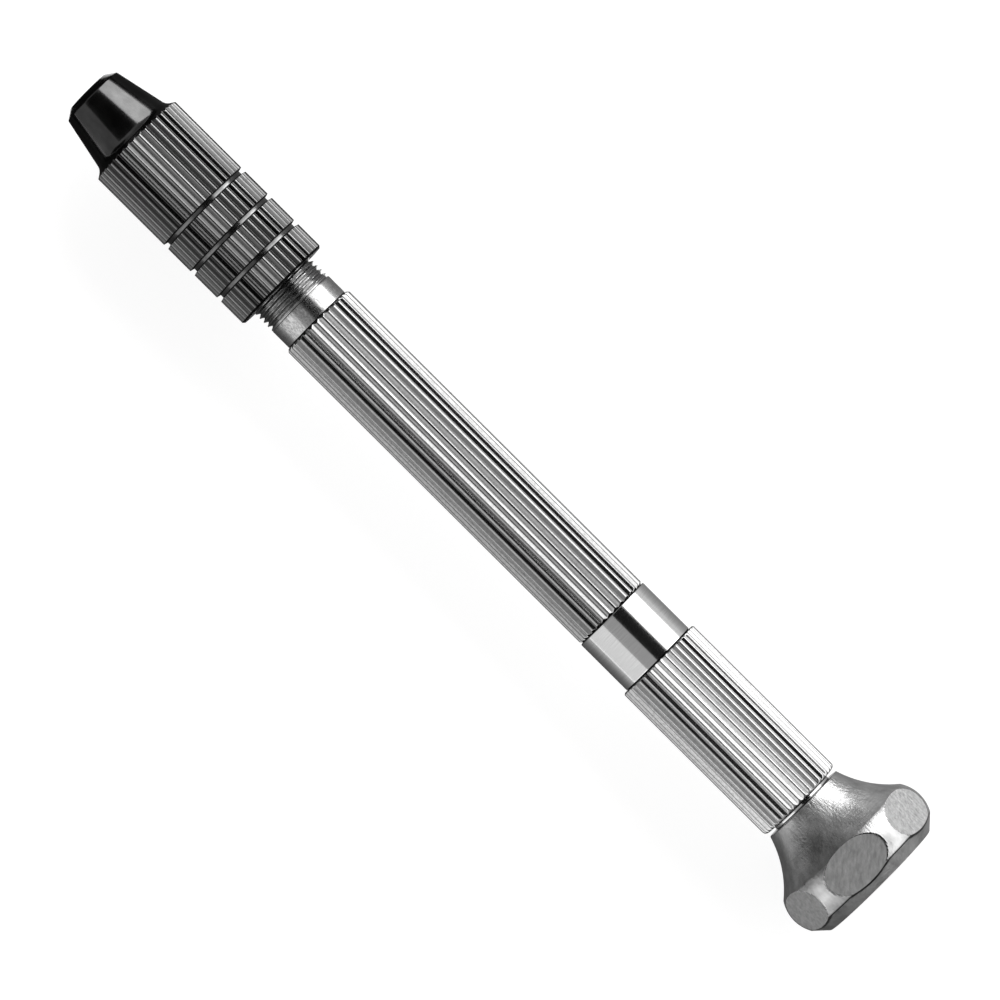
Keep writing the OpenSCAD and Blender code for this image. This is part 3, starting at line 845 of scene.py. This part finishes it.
def makeBarrel(b, material):
    front, rear, ringRadius = span("barrel")
    fine = fluteAngles(b, b["gripRadius"])
    coarse = fine[::4]
    corners = (b["threadEnd"], b["gripFront"], b["ringFront"], b["ringEnd"])

    # rings near the steps take dirt and painted shade
    def plain(x, r, angles=coarse):
        return ring(x, r, angles, 0.0, nearCorner(x, corners))

    rings = [plain(front, b["socketRadius"] + 0.2), plain(front, b["collarRadius"] - b["threadDepth"])]
    rings += threadRings(front + 0.02, b["threadEnd"], b["collarRadius"], b["threadDepth"],
                         b["threadPitch"], coarse, 0, b["fades"][0])
    collar = roundedLine([(b["threadEnd"] + 0.05, b["collarRadius"], 0),
                          (b["threadEnd"] + 0.2, b["collarRadius"], 0),
                          (b["gripFront"] - 0.2, b["collarRadius"], 0),
                          (b["gripFront"] - 0.1, b["collarRadius"], 0.04),
                          (b["gripFront"], b["collarRadius"] - 0.06, 0)])
    for x, r in collar:
        rings.append(plain(x, r))
        rings[-1][:, 4] = np.maximum(rings[-1][:, 4], b["collarShadeAndDirt"])

    r, edge = b["gripRadius"], b["edge"]
    grip = roundedLine([(b["gripFront"], r - edge, 0), (b["gripFront"] + edge, r, 0.05),
                        (b["ringFront"] - edge, r, 0.05), (b["ringFront"], r - edge, 0)], 4)
    rings += flutedRings(splitSteep(grip), b, r, fine, corners)
    bandFront, bandEnd, bevel = b["ringFront"] + 0.01, b["ringEnd"], b["ringBevel"]
    band = roundedLine([(bandFront, r - edge, 0), (bandFront, ringRadius - bevel, 0.02),
                        (b["ringFront"] + 0.09, ringRadius, 0.03), (b["ringFront"] + 0.2, ringRadius, 0),
                        (bandEnd - 0.2, ringRadius, 0), (bandEnd - bevel, ringRadius, 0.03),
                        (bandEnd, ringRadius - bevel, 0.02), (bandEnd, ringRadius - 0.3, 0)], 3)
    rings += [plain(x, rr, fine) for x, rr in band]

    rings.append(plain(b["ringEnd"], b["tailRadius"] - b["tailDepth"]))
    rings += threadRings(b["ringEnd"] + 0.1, rear, b["tailRadius"], b["tailDepth"], b["tailPitch"],
                         coarse, b["fades"][1], b["fades"][1])
    rings.append(plain(rear, b["tailRadius"] - b["tailDepth"]))
    seatEnd = b["seat"] + (b["socketRadius"] - b["throughRadius"]) / sleeve["coneSlope"]
    rings += [plain(x, rr) for x, rr in (
        (rear, b["storeRadius"]), (b["storeFront"], b["storeRadius"]), (b["storeFront"], b["throughRadius"]),
        (seatEnd, b["throughRadius"]), (b["seat"], b["socketRadius"]),
        (front + 0.2, b["socketRadius"]))]
    return skin("barrel_body", rings, "barrel", "barrel", material)


makeBarrel(barrel, brightNickel("bright nickel plate", nickel))
print("barrel made")


# Rear handle

handle = {
    "flutes": 40,
    "turn": 0.5,
    "fluteDepth": 0.21,
    "fluteSlope": 36.0,
    "fluteFloor": 0.02,
    "fluteRound": 0.015,
    "wearReach": 0.05,        # mm from a flute's mouth that is rubbed bright
    "rearRound": 0.45,
    "roundSteps": 14,
    "frontEdge": 0.15,
    "socketRadius": 3.55,
    "socketEnd": 88.95,
    "storeRadius": 2.9,
    "wall": 2.0,
    "holeRadius": 2.2,
}


def makeHandle(h, material):
    front, rear, radius = span("rear_handle")
    angles = fluteAngles(h, radius)
    outside = roundedLine([(front, h["socketRadius"], 0), (front, radius - h["frontEdge"], 0.04),
                           (front + h["frontEdge"], radius, 0.04), (rear, radius, h["rearRound"]),
                           (rear, h["holeRadius"], 0)], h["roundSteps"])
    edgeEnd = h["roundSteps"] + 2
    outside = outside[:1] + splitLine(outside[1:edgeEnd], fineStep) + outside[edgeEnd:]
    rings = flutedRings(outside, h, radius, angles, (front,))
    for x, r in ((rear - h["wall"], h["holeRadius"]), (rear - h["wall"], h["storeRadius"]),
                 (h["socketEnd"], h["storeRadius"]), (h["socketEnd"], h["socketRadius"])):
        rings.append(ring(x, r, angles))
    return skin("rear_handle_body", rings, "handle", "rear_handle", material)


makeHandle(handle, brightNickel("bright nickel plate on the handle", handleNickel))
print("handle made")


# Thrust washer

washer = {
    "holeRadius": 1.53,
    "edge": 0.06,
    "joint": (1.7, 1.75),     # radii on the rear face between which the skin closes
    "points": 160,
    "colour": "#dcdcdc",
    "roughness": 0.08,
    "mark": 0.05,             # mm, drawn coarser than it is
    "markHeight": 0.0004,
}


def makeWasher(w, material):
    front, rear, radius = span("thrust_washer")
    angles = np.arange(w["points"]) * 2 * math.pi / w["points"]
    line = roundedLine([(rear, w["joint"][0], 0), (rear, w["holeRadius"], 0), (front, w["holeRadius"], 0),
                        (front, radius, w["edge"]), (rear, radius, w["edge"]), (rear, w["joint"][1], 0)])
    return skin("thrust_washer_body", [ring(x, r, angles) for x, r in line],
                "head", "thrust_washer", material)


makeWasher(washer, turnedMetal("polished washer steel", washer["colour"], washer["roughness"],
                               washer["mark"], washer["markHeight"]))
print("washer made")


# Palm head

head = {
    "neckRadius": 4.65,
    "rim": (106.38, 110.47),  # front and rear edge of the crowned rim
    "crownX": 108.55,
    "crownRadius": 3.9,
    "endRadius": 7.0,
    "flareRadius": 11.3,
    "holeRadius": 1.5,
    "holeDepth": 7.0,
    "endRings": (5.5, 4, 2.5, 1.0),     # radii of the rings on the rear face
    "flats": 6,
    "flatTurn": 90,           # degrees to the first flat, which is on top
    "flatPoints": (0, 0.3, 0.6, 0.85, 0.96, 1),     # shares of a flat's half width that have a point
    "roundPoints": 7,         # points between a flat and the middle of the corner beside it
    "leastWidth": 0.012,      # radians that those points keep where there is no flat
    "bevel": 0.16,            # mm, width of the rubbed edge round each flat
    "shadedSeam": 0.2,              # mm, width of the dark border of painted shade behind the rim
    # how dark that painted shade is
    "seamShadeStrength": 0.95,
}


def arcThrough(a, b, radius, steps, hollow):
    # points after a, up to b, on the arc of that radius; a hollow one bends towards the axis
    a, b = Vector(a), Vector(b)
    half = (b - a).length / 2
    aside = Vector((-(b - a).y, (b - a).x)).normalized() * math.sqrt(radius ** 2 - half ** 2)
    centre = (a + b) / 2 + (aside if hollow else -aside)
    spokes = [(a - centre).slerp(b - centre, k / steps).normalized() for k in range(1, steps + 1)]
    return [tuple(centre + spoke * radius) for spoke in spokes]


def makeHead(h, material):
    front, rear, crown = span("palm_head")
    flatHeight = (cadBox[1].z - cadBox[0].z) / 2 / mm
    line = roundedLine([(front, h["holeRadius"], 0), (front, h["neckRadius"], 0.12),
                        (front + 0.4, h["neckRadius"] + 0.12, 0)], 4)[:-1]
    start = line[-1]
    bend = h["crownRadius"]
    top = crown - 0.005  # just inside the CAD model's crown
    rimFront, rimRear = [(x, top - bend + math.sqrt(bend ** 2 - (x - h["crownX"]) ** 2)) for x in h["rim"]]
    flare = arcThrough(start, rimFront, h["flareRadius"], 70, True)
    band = arcThrough(rimFront, rimRear, bend, 30, False)
    chamfer = splitLine([rimRear, (rear - 0.02, h["endRadius"] + 0.02)], fineStep)[1:]
    line += flare + band + chamfer + [(rear, h["endRadius"] - 0.03)]
    line += [(rear, r) for r in h["endRings"]]

    broken = h["bevel"] / flatHeight
    rings = []

    def addRing(x, r):
        # points over one flat and half of each corner beside it, then the same for every flat
        limit = math.acos(min(1, flatHeight / r)) if r > flatHeight else 0.0
        limit = max(limit, h["leastWidth"])
        inner, outer = limit - broken / 2, limit + broken / 2
        half = [inner * share for share in h["flatPoints"]] + [outer, outer + 0.3 * broken]
        count = h["roundPoints"]
        tail = math.radians(180 / h["flats"]) - half[-1]
        half += [half[-1] + tail * k / count for k in range(1, count + 1)]
        half = np.array(half)
        offsets = np.concatenate([-half[:0:-1], half[:-1]])
        aside = np.abs(offsets)
        onFlat = (aside <= inner + 1e-9) & (r > flatHeight)
        radii = np.where(onFlat, flatHeight / np.cos(offsets), r)

        # behind the rim the flats have no rubbed edge, and the painted shade of the seam runs on beside them
        # for its width
        behind = x > rimRear[0] - 0.06
        onEdge = (np.abs(aside - limit) < broken * 0.51) & (r > flatHeight) & (not behind)
        before = r + h["shadedSeam"] * (rimRear[1] - h["endRadius"]) / (rear - rimRear[0])
        reach = math.acos(flatHeight / before) + broken / 2 if behind and before > flatHeight else 0.0
        atRim = abs(x - rimRear[0]) < h["shadedSeam"] / 2
        onShadedSeam = ~onFlat & (atRim | (aside < reach))

        middles = [math.radians(360 / h["flats"] * side + h["flatTurn"]) for side in range(h["flats"])]
        angles = np.concatenate([middle + offsets for middle in middles])
        values = [np.tile(v, h["flats"]) for v in (radii, onEdge, onShadedSeam * h["seamShadeStrength"], onFlat)]
        rings.append(ring(x, values[0], angles, *values[1:]))

    for x, r in line:
        addRing(x, r)
    hole = rings[0]
    pole = np.array([[noseX + rear * mm, 0, axisZ, 0, 0, 0]])
    bottom = hole.copy()
    bottom[:, 0] += h["holeDepth"] * mm
    deep = np.array([[noseX + (front + h["holeDepth"]) * mm, 0, axisZ, 0, 0, 0]])
    return skin("palm_head_body", [deep, bottom] + rings + [pole],
                "head", "palm_head", material)


makeHead(head, satinNickel("satin nickel over milled steel", satin))
print("head made")


# Inner pieces keep their CAD shapes

# name of the material, colour, roughness, mm between its marks and their height
innerFinishes = {
    "collet": ("ground tool steel", "#a2a2a4", 0.22, 0.05, 0.0008),
    "spare_collet": ("ground tool steel of the spare", "#a2a2a4", 0.22, 0.05, 0.0008),
    "end_bush": ("turned brass", "#c9a961", 0.20, 0.08, 0.0008),
    "head_spindle": ("turned spindle steel", "#b4b4b6", 0.20, 0.06, 0.0008),
    "clip_washer": ("stamped washer steel", "#a8a8aa", 0.28, 0.06, 0.0006),
    "retaining_clip": ("blued spring steel", "#6c6e74", 0.26, 0.06, 0.0006),
}

for node, finish in innerFinishes.items():
    material = turnedMetal(*finish)
    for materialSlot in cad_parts[node].material_slots:
        materialSlot.material = material
print("inner pieces finished")
